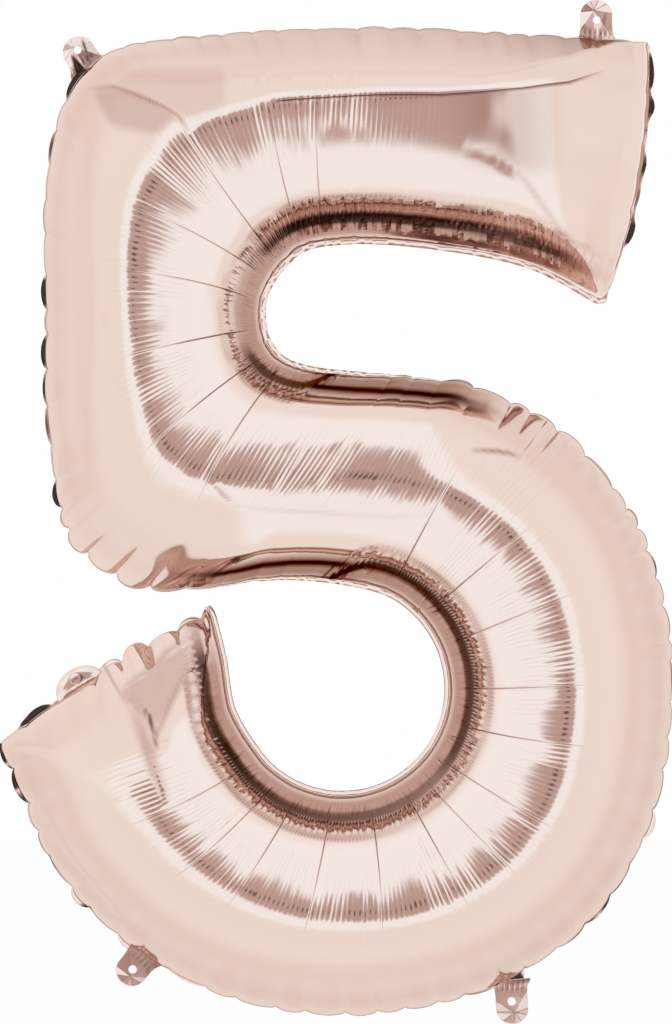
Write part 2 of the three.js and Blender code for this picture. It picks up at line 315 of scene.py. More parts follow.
def pleats(column, t):
    """Swell of the film between the long pleats, and the sharp valley along each one."""
    depth = np.array([line[2] for line in FANS], float)
    k, phase, width = segment(column)
    tilt = uneven(np.arange(len(depth)) * 2.3, 12)
    strength = mix(depth[k], depth[k + 1], phase)
    hold = smooth(0.06, 0.16, t) * (1 - smooth(0.30, 0.52, t))
    swell = (4 * phase * (1 - phase) - 0.6) * np.clip(width / 60, 0.4, 1.2)
    lean = tilt[k] * (phase - 0.5) * 1.4
    near, close = nearest_pleat(column)
    valley = -0.34 * close * np.exp(-(near / 0.5) ** 2)
    long_hold = smooth(0.05, 0.09, t) * mix(1.0, 0.45, smooth(0.3, 0.5, t))
    long_hold = long_hold * (1 - smooth(0.56, 0.64, t))
    return ((swell + lean) * strength)[:, None] * hold + valley[:, None] * long_hold


def pleat_shade(column, t):
    """Painted shade: the dark line at the bottom of each long pleat, broader at its inner end."""
    near, close = nearest_pleat(column)
    inner = np.exp(-(near / 0.75) ** 2)[:, None] * (1 - smooth(0.10, 0.34, t))
    line = np.exp(-(near / 0.42) ** 2)[:, None]
    reach = smooth(0.04, 0.08, t) * (1 - 0.6 * smooth(0.3, 0.5, t)) * (1 - smooth(0.56, 0.64, t))
    return np.maximum(inner, 0.8 * line) * reach * np.minimum(close, 1.0)[:, None]


def crown_ribs(column, s, u):
    """Depth of the fine ribs that cross the crest of the pleated stretches."""
    rib = np.floor(column / RIB_PITCH)[:, None]
    inward = 1 - 2 * smooth(850, 950, s)
    past = (u - crest_share(s)) * inward
    low = -0.09 + 0.04 * uneven(rib * 0.53, 21) + 0.03 * uneven(rib * 0.11, 22)
    high = 0.20 + 0.05 * uneven(rib * 0.61, 23) + 0.05 * uneven(rib * 0.13, 24)
    band = smooth(low - 0.03, low + 0.05, past) * (1 - smooth(high - 0.08, high + 0.03, past))
    patchy = 0.75 + 0.55 * uneven(column / 23, 25)
    strength = np.clip(patchy, 0.25, 1.0) * (0.75 + 0.25 * uneven(column / 4.2, 26))
    return band * (strength * pleated_share(column))[:, None]


def rim_band(column, t, width):
    """Where the film is gathered tight beside the inside weld, with a toothed edge."""
    tooth = ridges(column, RIM_RIB_PITCH)
    size = 1 + 0.5 * uneven(np.floor(column / RIM_RIB_PITCH) * 0.77, 27)
    away = t * width
    lift = np.interp(column, (150, 330, 400), (7.0, 4.0, 0.0))
    stop = (27 + lift + 6.0 * tooth * size + 1.5 * uneven(column / 19, 29))[:, None]
    start = (15 - 4.0 * tooth * size)[:, None]
    band = smooth(start - 4, start + 4, away) * (1 - smooth(stop - 6, stop + 1, away))
    return band * inner_share(column)[:, None]


def ring_shade(column, away):
    """Painted shade of the gathered flank inside a bend: a dark core, a beaded band whose lighter
    beads are painted highlights, a dotted line.
    """
    tooth = ridges(column, RIM_RIB_PITCH / 2)[:, None]
    bead_row = smooth(24, 27, away) * (1 - smooth(30, 33, away))
    bead = ridges(column, RIM_RIB_PITCH)[:, None] * bead_row
    core = smooth(11, 15, away) * (1 - smooth(19 + 3 * tooth, 22 + 3 * tooth, away))
    beads = smooth(21, 24, away) * (1 - smooth(32, 35, away)) * mix(0.5, 0.05, bead)
    dots = (0.25 + 0.4 * tooth) * np.exp(-((away - 35) / 1.6) ** 2)
    return np.maximum(np.maximum(core, beads), dots) * inner_share(column)[:, None]


def inner_share(column):
    """How tightly the inside of the bend is gathered at each column."""
    places = (0, 20, 60, 300, 360, 400, 560, 600, 690, 760, 1140, 1190, 1560, 1625, 1646)
    levels = (0, 0.2, 0.9, 1.0, 0.8, 0.35, 0.4, 0.9, 0.9, 1.0, 0.9, 0.7, 1.0, 0.9, 0.0)
    return np.interp(column, places, levels)


def opposite_band(s, u, width):
    """Painted shade: the dark band on the far flank where the stroke turns over."""
    lower = smooth(672, 720, s) * (1 - smooth(800, 850, s))
    upper = smooth(640, 690, s) * (1 - smooth(830, 880, s))
    bands = np.zeros_like(u)
    for share, reach in ((u, lower), (1 - u, upper)):
        away = share * width
        tone = 0.5 + 0.5 * smooth(10, 14, away) * (1 - smooth(16, 20, away))
        bands += smooth(2, 6, away) * (1 - smooth(19, 27, away)) * tone * reach
    return bands


def pleated_share(column):
    """1 where the film is gathered, 0 at the plain ends."""
    return smooth(150, 215, column) * (1 - smooth(1560, 1600, column))


def ridges(places, pitch):
    """Rounded ridges with sharp valleys between them, from 0 to 1."""
    return np.abs(np.sin(np.pi * places / pitch)) ** 0.8


# Loose folds of the film away from the bends: line, width, height, how dark the painted
# shade line at their bottom is, and that line's breadth.
FOLDS = (
    (
        ((-212, 356), (-187, 357), (-168, 350), (-146, 340), (-132, 331), (-122, 316)),
        9, -3.0, 0.55, 2.0,
    ),
    (((106, 304), (132, 296), (157, 279), (177, 251), (206, 213)), 14, -1.5, 0.24, 2.6),
    (((-117, -106), (-128, -136), (-140, -161), (-151, -187), (-152, -205)), 9, -4.0, 0.42, 3.2),
    (((-165, -160), (-157, -170), (-151, -187), (-150, -200)), 8, -3.0, 0.95, 1.6),
    (((-172, -160), (-160, -190), (-151, -218), (-141, -245)), 14, 3.0, 0.36, 6.0),
    (((-185, -152), (-160, -138), (-140, -121), (-118, -106)), 9, 2.5, 0.3, 3.0),
    (((-205, -118), (-196, -132), (-184, -150), (-172, -165)), 7, -2.0, 0.35, 1.5),
    (((112, 52), (135, 51), (147, 49), (156, 45)), 5, -1.0, 0.55, 2.0),
    (((-101, 23), (-95, 15), (-87, 8)), 4, -1.0, 0.45, 1.8),
    (((-89, 6), (-60, 2), (-22, 0), (41, -4), (76, -3)), 8, -0.5, 0.16, 1.8),
    (((-282, -205), (-253, -237), (-229, -280), (-183, -337), (-157, -357)), 6, -1.6, 0.12, 2.5),
)
# Flat facets between folds, with a painted reflection of something darker: corners, how dark,
# softness of the edge.
FACETS = (
    (((-183, -152), (-150, -188), (-117, -108), (-140, -121)), 0.28, 3),
    (((-210, 360), (-192, 322), (-150, 312), (-128, 332), (-164, 357), (-187, 364)), 0.26, 8),
    (((-196, 358), (-172, 376), (-90, 376), (-90, 338), (-126, 322), (-168, 346)), 0.15, 9),
)


def beside(points, x, z):
    """Distance from a line of (x, z) points, side of it, and a taper towards its ends."""
    line = np.array(points, float)
    lengths = np.linalg.norm(np.diff(line, axis=0), axis=1)
    near = np.full_like(x, 1e9)
    side = np.zeros_like(x)
    place = np.zeros_like(x)
    gone = 0.0
    for a, b, length in zip(line[:-1], line[1:], lengths):
        way = (b - a) / length
        along = (x - a[0]) * way[0] + (z - a[1]) * way[1]
        off = (x - a[0]) * way[1] - (z - a[1]) * way[0]
        held = np.clip(along, 0, length)
        gap = np.hypot(off, along - held)
        closer = gap < near
        near = np.where(closer, gap, near)
        side = np.where(closer, np.sign(off), side)
        place = np.where(closer, (gone + held) / lengths.sum(), place)
        gone += length
    return near, side, np.sin(np.pi * np.clip(place, 0.0, 1.0)) ** 0.6


def folds(x, z):
    """Heights of the loose folds, steep on one side and soft on the other, and the painted shade
    along their bottom lines.
    """
    height, tone = np.zeros_like(x), np.zeros_like(x)
    for line, width, high, dark, breadth in FOLDS:
        near, side, taper = beside(line, x, z)
        steep = np.exp(-near / (0.25 * width))
        soft = np.exp(-near / width)
        height += high * taper * np.where(side > 0, steep, soft)
        tone = np.maximum(tone, dark * taper * np.exp(-(near / breadth) ** 2))
    return height, tone


def winding(corners):
    """+1 for corners listed anticlockwise, -1 for clockwise."""
    turns = zip(corners, corners[1:] + corners[:1])
    return math.copysign(1.0, sum(a[0] * b[1] - b[0] * a[1] for a, b in turns))


def facets(x, z):
    """Painted reflection tone of the facets, each fading towards its edge."""
    tone = np.zeros_like(x)
    for corners, dark, soft in FACETS:
        inside = np.ones_like(x)
        turn = winding(corners)
        for a, b in zip(corners, corners[1:] + corners[:1]):
            way = np.subtract(b, a) / math.dist(a, b)
            inward = turn * ((z - a[1]) * way[0] - (x - a[0]) * way[1])
            inside *= smooth(-0.5 * soft, soft, inward)
        tone = np.maximum(tone, dark * inside)
    return tone


def outer_reflection_tone(s, u):
    """Painted reflection: a warmer, darker tone near the outer weld, in faint streaks along the
    stroke.
    """
    away = 1 - from_inside(s, u)
    streak = 0.5 + 0.5 * uneven(u * 17, 54)
    return 0.11 * (1 - smooth(0.03, 0.30, away)) * (0.55 + 0.45 * streak) + 0.03 * streak


# Seeds of the scallops along the top side, the under side, the arm's end and the tail's
# end, and where the scallops of the two ends start.
TOP_RIM, UNDER_RIM, ARM_RIM, TAIL_RIM = 31, 32, 33, 34
ARM_RUN, TAIL_RUN = 9, 4


def scallops(run, seed):
    """Rim scallops along a running length: the share of the way through one, and its number."""
    gaps = np.random.default_rng(seed).uniform(18, 36, 400)
    tucks = np.cumsum(gaps) - 40
    k = np.clip(np.searchsorted(tucks, run) - 1, 0, len(tucks) - 2)
    width = tucks[k + 1] - tucks[k]
    return (run - tucks[k]) / width, k


def rim_run(points, s):
    """Running length along one side of the stroke at distances s along its middle."""
    path = through(points, SHARES)
    steps = np.linalg.norm(np.diff(path, axis=0), axis=1)
    lengths = np.concatenate(([0.0], np.cumsum(steps)))
    return np.interp(np.interp(s, ALONG, SHARES), SHARES, lengths)


def rim_slack(s, u_side):
    """How loosely the weld is gathered: tight inside a bend, loose at the two corners."""
    bend = inside_bend(s)
    if u_side == 0:
        corner = smooth(575, 620, s) * (1 - smooth(680, 720, s))
        return mix(0.06, 0.55, (bend + 1) / 2) + 0.9 * corner
    corner = smooth(800, 850, s) * (1 - smooth(940, 990, s))
    return mix(0.06, 0.8, (1 - bend) / 2) + 0.5 * corner


def gathered_rim(s, u, facing):
    """What the gathered weld does to the film: swell in the seam plane, wave out of it,
    and the puckers that run a short way up the dome."""
    top, under = sides(s)
    width = np.linalg.norm(top - under, axis=-1)
    out = (top - under) / width[..., None]
    swell, wave, pucker = np.zeros(u.shape + (2,)), np.zeros(u.shape), np.zeros(u.shape)
    arm_way, tail_way = end_direction(True), end_direction(False)
    tail_slack = mix(2.0, 0.35, smooth(0.4, 0.65, u))
    for run, away, distance, slack, seed in (
        (rim_run(TOP, s), out, u * width, rim_slack(s, 0), TOP_RIM),
        (rim_run(UNDER, s), -out, (1 - u) * width, rim_slack(s, 1), UNDER_RIM),
        (u * width + ARM_RUN, arm_way, s, 0.35, ARM_RIM),
        (u * width + TAIL_RUN, tail_way, LENGTH - s, tail_slack, TAIL_RIM),
    ):
        phase, k = scallops(run, seed)
        size = 0.55 + 0.45 * uneven(k * 1.37, seed + 5)
        puff = 0.8 + 0.7 * uneven(k * 2.1 + 40.5 * (facing + 1), seed + 3)
        arch = np.clip(4 * phase * (1 - phase), 0, 1) ** 0.5
        edge = (arch - 0.6) * 4.5 * size * slack
        swell += (edge * np.exp(-(distance / 15) ** 2))[..., None] * away
        beyond = 1.6 * slack + 0.6 + arch * 2.6 * slack * puff
        beyond = beyond * smooth(0.0, 2.5, distance)
        swell += (beyond * np.exp(-(distance / 13) ** 2))[..., None] * away
        wave += 2.4 * uneven(run / 21, seed + 9) * slack * np.exp(-(distance / 14) ** 2)
        crest = (arch - 0.7) * 3.0 * puff * slack
        pucker += crest * smooth(1.0, 8.0, distance) * np.exp(-(distance / 22) ** 2)
    return swell, wave, pucker


def crescent(run, seed):
    """How far the bare rim shows past the film, one crescent to some of the scallops."""
    phase, k = scallops(run, seed)
    shown = np.clip(0.25 + uneven(k * 1.91 + 5, seed + 20), 0, 1)
    return CRESCENT * shown * np.clip(1 - (2 * phase - 1) ** 2, 0, 1) ** 0.8


def row_places():
    """Places of the rows across the flanks, closest together at the crest and seams."""
    even = np.linspace(0, 1, HALF_ROWS + 1)
    eased = (1 - np.cos(np.pi * even)) / 2
    half = mix(even, eased, 0.6)
    return np.concatenate((-half[:0:-1], half))


def cross_shares(s, b):
    """Cross shares u of the places b across the flanks."""
    crest = crest_share(s)
    return np.where(b < 0, crest * (1 + b), crest + (1 - crest) * b)


class FilmGrid:
    """Places of a panel's film points.

    s is the distance along the stroke, u the cross share from its top side, t the cross
    share from the inside of the bend, b the place across a flank, x and z the seam plane.
    rise, body, tight, crease and the folds say what the film does there.
    """

    def __init__(self):
        self.column = column_places()
        column = self.column[:, None]
        self.b = np.tile(row_places(), (len(self.column), 1))
        plain = cross_shares(column, self.b)
        self.s = np.clip(fanned(self.column, from_inside(column, plain)), 0, LENGTH)
        self.u = cross_shares(self.s, self.b)
        self.t = from_inside(column, self.u)
        top, under = sides(self.s)
        self.width = np.linalg.norm(top - under, axis=-1)
        outside_top = (inside_bend(self.s) + 1) / 2
        at_top = mix(INNER_WELD, OUTER_WELD, outside_top) / self.width
        at_under = mix(OUTER_WELD, INNER_WELD, outside_top) / self.width
        plane = seam_plane(self.s, at_top + self.u * (1 - at_top - at_under))
        self.x, self.z = plane[..., 0], plane[..., 1]
        self.rise = dome(self.s, self.b)
        self.body = smooth(0.0, 0.25, self.rise)
        self.tight = rim_band(self.column, self.t, self.width)
        self.crease = arm_crease(self.s, self.b)
        self.fold_height, self.fold_line_shade = folds(self.x, self.z)


def film_height(grid, facing):
    """Height of the film over the seam plane, with its pleats, gathers and folds."""
    s, body = grid.s, grid.body
    height = HALF_DEPTH * grid.rise + pleats(grid.column, grid.t) * body
    height += 0.7 * grid.tight * (ridges(grid.column, RIM_RIB_PITCH)[:, None] - 0.6)
    height += streaks(grid.column, grid.u, facing) * body
    height += grid.fold_height * body
    height -= 0.3 * grid.crease + ARM_DROP * (1 - smooth(70, 230, s))
    under_crease = 1 - np.exp(-np.maximum(grid.b, 0) / 0.25)
    height -= 2.5 * under_crease * (1 - smooth(150, 260, s)) * body
    buckle = 0.5 * uneven(s / 24, 51) * uneven(grid.u * 8, 52)
    return height + buckle * (1 - smooth(120, 200, s)) * body


def film_tones(grid):
    """Painted shade and painted reflections on the film, from 0 to 1: its gathers, pleats, crease,
    folds and facets, and warmer tones under the arm's crease and near the outer weld.
    """
    s, away = grid.s, grid.t * grid.width
    near_weld = smooth(2, 7, away) * (1 - smooth(15, 22, away))
    return np.maximum.reduce((
        ring_shade(grid.column, away),
        opposite_band(s, grid.u, grid.width),
        # painted shade on the steep flank near the inside weld
        0.45 * near_weld * smooth(15, 60, s) * (1 - smooth(1600, 1640, s)),
        pleat_shade(grid.column, grid.t),
        # painted shade along the arm's crease
        0.9 * grid.crease,
        grid.fold_line_shade,
        facets(grid.x, grid.z),
        arm_reflection_tone(s, grid.b),
        outer_reflection_tone(s, grid.u) * grid.body,
    ))


def panel_points(facing):
    """One panel's film points, its two masks, its columns and its cross shares."""
    grid = FilmGrid()
    swell, wave, pucker = gathered_rim(grid.s, grid.u, facing)
    height = film_height(grid, facing) + pucker * smooth(0.02, 0.2, grid.rise)
    out = wave + facing * (np.maximum(height, 0.0) + SEAM_HALF)
    points = np.stack((grid.x + swell[..., 0], out, grid.z + swell[..., 1]), axis=-1)
    ribs = crown_ribs(grid.column, grid.s, grid.u) + 0.5 * grid.tight
    return with_rim(points, grid.s, (ribs, film_tones(grid), grid.u), grid.column)


def arm_crease(s, b):
    """The sharp crease that runs along the crest of the arm to its corner; it also places the
    painted shade line along it.
    """
    reach = smooth(22, 60, s) * (1 - smooth(284, 292, s))
    return np.exp(-(np.abs(b) / 0.012) ** 2) * reach


def arm_reflection_tone(s, b):
    """Painted reflection: a warmer, darker tone of the plain film under the crease, where the arm's
    dark band dies out.
    """
    reach = smooth(45, 95, s) * (1 - smooth(105, 165, s))
    return 0.25 * reach * smooth(0.0, 0.03, b) * (1 - smooth(0.40, 0.55, b))


def with_rim(points, s, masks, column):
    """Adds the flat rim around a panel's grid, and masks to match, with a painted reflection
    darkening the bare crescents.
    """
    ribs, shade, u = masks
    rows = [[], []]
    for side, share in ((0, 0.0), (-1, 1.0)):
        for reach in (0.12, 1.0):
            rows[side].append(rim_row(s[:, side], points[:, side], share, reach)[:, None])
    points = np.concatenate((rows[0][1], rows[0][0], points, rows[1][0], rows[1][1]), axis=1)
    widen = [(0, 0), (2, 2)]
    shade, ribs, u = np.pad(shade, widen), np.pad(ribs, widen), np.pad(u, widen, mode="edge")
    for side, share in ((slice(0, 2), 0.0), (slice(-2, None), 1.0)):
        shade[:, side] = bare_share(s[:, 0], share)[:, None]
    ends = []
    for end, way, start, seed in (
        (0, end_direction(True), ARM_RUN, ARM_RIM),
        (-1, end_direction(False), TAIL_RUN, TAIL_RIM),
    ):
        width = np.linalg.norm(points[end, 0] - points[end, -1])
        bare = crescent(u[end] * width + start, seed)
        bare = bare * smooth(0, 8, u[end] * width) * smooth(0, 8, (1 - u[end]) * width)
        if end == -1:
            bare = bare * smooth(0.55, 0.62, u[end])
        for reach in (0.12, 1.0):
            column_points = points[end].copy()
            column_points[:, 0:3:2] += (reach * (0.8 + bare))[:, None] * way
            # painted reflection darkening the bare crescents of the ends
            ends.append((column_points[None], np.clip(bare / 2, 0, 1)[None]))
    points = np.concatenate((ends[1][0], ends[0][0], points, ends[2][0], ends[3][0]), axis=0)
    shade = np.concatenate((ends[1][1], ends[0][1], shade, ends[2][1], ends[3][1]), axis=0)
    widen = [(2, 2), (0, 0)]
    column = np.pad(column, 2, mode="edge")
    return points, np.pad(ribs, widen), shade, column, np.pad(u, widen, mode="edge")


def rim_crescents(s, share):
    """Crescents of one long side: hardly any along the arm's top and the middle."""
    if share == 0.0:
        often = np.interp(s, (0, 340, 400, 620, 680), (0.15, 0.15, 1.0, 1.0, 0.0))
        return often * crescent(rim_run(TOP, s), TOP_RIM)
    often = np.interp(s, (800, 900, 1080, 1150, 1330, 1400, 1646), (0, 0.35, 0.6, 1.5, 1.5, 0.8, 1))
    return often * crescent(rim_run(UNDER, s), UNDER_RIM)


def bare_share(s, share):
    """Painted reflection on one side's rim: dark only where a crescent of it shows bare."""
    bend = inside_bend(s)
    outer = (bend + 1) / 2 if share == 0.0 else (1 - bend) / 2
    return outer * np.clip(rim_crescents(s, share) / 2, 0, 1)


def rim_row(s, seam, share, reach):
    """A row of points on the flat weld, at a share of its width past the seam row."""
    top, under = sides(s)
    out = (top - under) / np.linalg.norm(top - under, axis=-1, keepdims=True)
    bend = inside_bend(s)
    inner = (bend + 1) / 2 if share == 1.0 else (1 - bend) / 2
    outside = OUTER_WELD + rim_crescents(s, share)
    wide = reach * mix(outside, INNER_WELD, inner)[:, None] * (1 if share == 0.0 else -1)
    row = seam.copy()
    row[:, 0:3:2] += out * wide
    run = rim_run(TOP if share == 0.0 else UNDER, s)
    crinkle = mix(1.1, 0.15, smooth(780, 900, s))
    row[:, 1] += crinkle * reach * inner * uneven(run / 3.4, 53)
    return row


def streaks(column, u, facing):
    """Very shallow waves that run along the stroke where the film is plain."""
    drift = uneven(column / 210, 41 + facing)[:, None]
    return 0.22 * uneven(u * 15 + 1.5 * drift, 42 + facing) * uneven(column / 90 + 7, 43)[:, None]


# ---- meshes ------------------------------------------------------------------------------
def film_piece(name, points, masks, column, u, facing, closed=False):
    """A sheet mesh from a grid of points, with stroke coordinates and masks on it."""
    rows, columns = points.shape[:2]
    index = np.arange(rows * columns).reshape(rows, columns)
    if closed:
        index = np.vstack((index, index[:1]))
    a, b = index[:-1, :-1], index[1:, :-1]
    c, d = index[1:, 1:], index[:-1, 1:]
    ring = (a, b, c, d) if facing < 0 else (a, d, c, b)
    faces = np.stack(ring, axis=-1).reshape(-1, 4)
    mesh = bpy.data.meshes.new(name)
    mesh.vertices.add(rows * columns)
    mesh.vertices.foreach_set("co", (points * MM).reshape(-1))
    mesh.loops.add(faces.size)
    mesh.loops.foreach_set("vertex_index", faces.reshape(-1))
    mesh.polygons.add(len(faces))
    mesh.polygons.foreach_set("loop_start", np.arange(0, faces.size, 4))
    mesh.polygons.foreach_set("loop_total", np.full(len(faces), 4))
    mesh.update(calc_edges=True)
    places = np.stack((np.broadcast_to(column[:, None], u.shape) * MM, u), -1).reshape(-1, 2)
    layer = mesh.uv_layers.new(name="stroke")
    layer.data.foreach_set("uv", places[faces.reshape(-1)].reshape(-1))
    for mask, values in masks.items():
        layer = mesh.attributes.new(mask, "FLOAT", "POINT")
        layer.data.foreach_set("value", values.reshape(-1))
    mesh.polygons.foreach_set("use_smooth", np.ones(len(faces), bool))
    piece = bpy.data.objects.new(name, mesh)
    bpy.context.scene.collection.objects.link(piece)
    return piece


def only(piece):
    """Makes one object the only selected and the active one."""
    bpy.ops.object.select_all(action="DESELECT")
    piece.select_set(True)
    bpy.context.view_layer.objects.active = piece


def thicken(piece, wall, offset=-1.0):
    """Gives a film sheet its wall, inwards from the outer face or about its middle."""
    only(piece)
    solid = piece.modifiers.new("wall", "SOLIDIFY")
    solid.thickness = wall * MM
    solid.offset = offset
    bpy.ops.object.modifier_apply(modifier=solid.name)


# ---- materials ---------------------------------------------------------------------------
# The film's own colour, then the tints its shade mask paints in: painted shade in gathers, pleats
# and folds, painted reflections of darker things.
FOIL_TINT = (0.86, 0.635, 0.545, 1.0)
SHADE_MID_TINT = (0.56, 0.325, 0.262, 1.0)
DEEP_TINT = (0.19, 0.098, 0.077, 1.0)
DARKEST_SHADE_TINT = (0.05, 0.03, 0.025, 1.0)      # painted shade of the darkest gathers, painted reflection on the bare rim
EDGE_TINT = (0.34, 0.235, 0.205, 1.0)    # film seen at a low angle
GATHER_BUMP = 0.00034                    # metres


class NodeSheet:
    """Short ways to add and join shader nodes in one node tree."""

    def __init__(self, tree):
        self.nodes, self.links = tree.nodes, tree.links

    def add(self, kind, **inputs):
        node = self.nodes.new("ShaderNode" + kind)
        for key, value in inputs.items():
            self.join(value, node.inputs[int(key[1:])])
        return node

    def join(self, value, socket):
        if isinstance(value, bpy.types.NodeSocket):
            self.links.new(value, socket)
        else:
            socket.default_value = value

    def math(self, operation, a, b=0.0, c=0.0):
        node = self.add("Math", i0=a, i1=b, i2=c)
        node.operation = operation
        return node.outputs[0]


def gathers_group():
    """Shared effect: heights of the fine gathers that cross the stroke."""
    tree = bpy.data.node_groups.new("film_gathers", "ShaderNodeTree")
    tree.interface.new_socket("Along", in_out="INPUT", socket_type="NodeSocketFloat")
    tree.interface.new_socket("Across", in_out="INPUT", socket_type="NodeSocketFloat")
    tree.interface.new_socket("Depth", in_out="INPUT", socket_type="NodeSocketFloat")
    tree.interface.new_socket("Height", in_out="OUTPUT", socket_type="NodeSocketFloat")
    sheet = NodeSheet(tree)
    given = tree.nodes.new("NodeGroupInput").outputs
    ribs = sheet.math("MULTIPLY", given["Along"], 1 / (RIB_PITCH * MM))
    ridge = sheet.math("ABSOLUTE", sheet.math("SINE", sheet.math("MULTIPLY", ribs, math.pi)))
    number = sheet.math("FLOOR", ribs)
    pick = sheet.add("TexWhiteNoise")
    pick.noise_dimensions = "1D"
    sheet.join(number, pick.inputs["W"])
    lift = sheet.math("SUBTRACT", pick.outputs["Value"], 0.5)
    tilt = sheet.math("MULTIPLY", lift, sheet.math("SUBTRACT", given["Across"], 0.5))
    size = sheet.math("MULTIPLY_ADD", pick.outputs["Value"], 0.6, 0.5)
    crest = sheet.math("MULTIPLY", ridge, size)
    both = sheet.math("MULTIPLY_ADD", tilt, 40.0, crest)
    tree.nodes.new("NodeGroupOutput")
    sheet.join(sheet.math("MULTIPLY", both, given["Depth"]), tree.nodes["Group Output"].inputs[0])
    return tree


def foil_material(name, roughness):
    """Metallised film: mirror finish, fine ribs across the stroke, and painted shade and painted
    reflections from its shade mask, darkest in its gathers.
    """
    material = bpy.data.materials.new(name)
    material.use_nodes = True
    sheet = NodeSheet(material.node_tree)
    shader = material.node_tree.nodes["Principled BSDF"]
    shader.inputs["Metallic"].default_value = 1.0
    shader.inputs["Specular Tint"].default_value = EDGE_TINT
    shader.inputs["Roughness"].default_value = roughness
    uv = sheet.add("UVMap")
    uv.uv_map = "stroke"
    split = sheet.add("SeparateXYZ", i0=uv.outputs["UV"])
    depth = sheet.add("Attribute")
    depth.attribute_name = "rib_depth"
    shade = sheet.add("Attribute")
    shade.attribute_name = "shade"
    gathers = material.node_tree.nodes.new("ShaderNodeGroup")
    gathers.node_tree = GATHERS
    sheet.join(split.outputs["X"], gathers.inputs["Along"])
    sheet.join(split.outputs["Y"], gathers.inputs["Across"])
    sheet.join(depth.outputs["Fac"], gathers.inputs["Depth"])
    bump = sheet.add("Bump")
    bump.inputs["Distance"].default_value = GATHER_BUMP
    sheet.join(gathers.outputs["Height"], bump.inputs["Height"])
    sheet.join(bump.outputs["Normal"], shader.inputs["Normal"])
    # Painted shade and painted reflections: the shade mask darkens the film's colour through these
    # tints.
    colour = sheet.add("ValToRGB", i0=shade.outputs["Fac"])
    steps = colour.color_ramp.elements
    steps.new(0.45)
    steps.new(0.85)
    for step, tint in zip(steps, (FOIL_TINT, SHADE_MID_TINT, DEEP_TINT, DARKEST_SHADE_TINT)):
        step.color = tint
    sheet.join(colour.outputs[0], shader.inputs["Base Color"])
    return material


def valve_film_material():
    """Milky clear film with a faint grain."""
    material = bpy.data.materials.new("clear_valve_film")
    material.use_nodes = True
    sheet = NodeSheet(material.node_tree)
    shader = material.node_tree.nodes["Principled BSDF"]
    shader.inputs["Roughness"].default_value = 0.3
    shader.inputs["Alpha"].default_value = 0.75
    place = sheet.add("TexCoord")
    grain = sheet.add("TexNoise", i0=place.outputs["Object"])
    grain.inputs["Scale"].default_value = 900
    ramp = sheet.add("Mix")
    ramp.data_type = "RGBA"
    ramp.inputs[6].default_value = (0.82, 0.80, 0.78, 1)
    ramp.inputs[7].default_value = (0.93, 0.92, 0.90, 1)
    sheet.join(grain.outputs[0], ramp.inputs[0])
    sheet.join(ramp.outputs[2], shader.inputs["Base Color"])
    return material


GATHERS = gathers_group()


# ---- pieces ------------------------------------------------------------------------------
def foil_panel(name, node, facing, material):
    """One foil panel of the envelope, in place of its plain solid."""
    points, ribs, shade, column, u = panel_points(facing)
    masks = {"rib_depth": ribs, "shade": shade}
    piece = film_piece(name, points, masks, column, u, facing)
    thicken(piece, FILM)
    piece.data.materials.append(material)
    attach(piece, "envelope")
    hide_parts(node)
    return piece


# Hanging tabs: root on the rim, direction in degrees, length, depth of the crinkles.
TABS = {
    "tab_top_left": ((-210.44, 377.26), 121.0, 26.0, 1.0),
    "tab_top_right": ((219.84, 400.32), 90.0, 32.0, 0.9),
    "tab_bottom_left": ((-162.37, -374.67), 231.0, 29.0, 0.35),
    "tab_bottom_right": ((147.30, -398.40), 274.0, 34.0, 0.6),
}
TAB_NODES = {
    "tab_top_left": "hang_tab_top_left",
    "tab_top_right": "hang_tab_top_right",
    "tab_bottom_left": "hang_tab_bottom_left",
    "tab_bottom_right": "hang_tab_bottom_right",
}
TAB_HALF_WIDTH = 13.5
HOLE_FROM_ROOT = 15.0
HOLE_RADIUS = 3.25
NECK_ROOT = (-215.90, -147.41)
NECK_ANGLE = 121.15
NECK_HALF_WIDTH = 21.0
NECK_LENGTH = 16.0
INLET_FROM_ROOT = 8.0
INLET_RADIUS = 4.5
RAYS = 128
RINGS = 22


def in_row_frame(root, angle, along, across):
    """Points (x, z) at distances along and across a lobe that stands on the rim."""
    turn = math.radians(angle)
    x = root[0] + along * math.cos(turn) - across * math.sin(turn)
    z = root[1] + along * math.sin(turn) + across * math.cos(turn)
    return x, z


def lobe_outline(half_width, length, flare):
    """A lobe's outline from its root, which spreads a little into the rim."""
    stem = np.linspace(-4, length - 0.5, 60)
    tip = length - 0.5 * np.linspace(0.9, 0, 12)
    along = np.concatenate((stem, tip))
    round_part = min(half_width, length)
    past = np.clip((along - (length - round_part)) / round_part, 0, 1)
    across = half_width * np.sqrt(1 - past ** 2.2) + flare * np.exp(-(along + 4) / 3.5)
    side = np.stack((along, across), axis=-1)
    root = np.stack((np.full(30, -4.0), np.linspace(-1, 1, 30) * side[0, 1]), axis=-1)
    return np.vstack((side, side[-2::-1] * (1, -1), root[1:-1]))


def lobe_grid(outline, centre, hole_radius):
    """Rings of points from a round hole out to the outline, one ray for each angle."""
    angles = np.linspace(-np.pi, np.pi, RAYS, endpoint=False)
    seen = outline - (centre, 0)
    bearing = np.arctan2(seen[:, 1], seen[:, 0])
    order = np.argsort(bearing)
    reach = np.hypot(seen[:, 0], seen[:, 1])
    outer = np.interp(angles, bearing[order], reach[order], period=2 * np.pi)
    share = np.linspace(0, 1, RINGS)
    radius = hole_radius + (outer[:, None] - hole_radius) * share
    along = centre + radius * np.cos(angles)[:, None]
    across = radius * np.sin(angles)[:, None]
    return along, across, np.broadcast_to(angles[:, None], along.shape), share


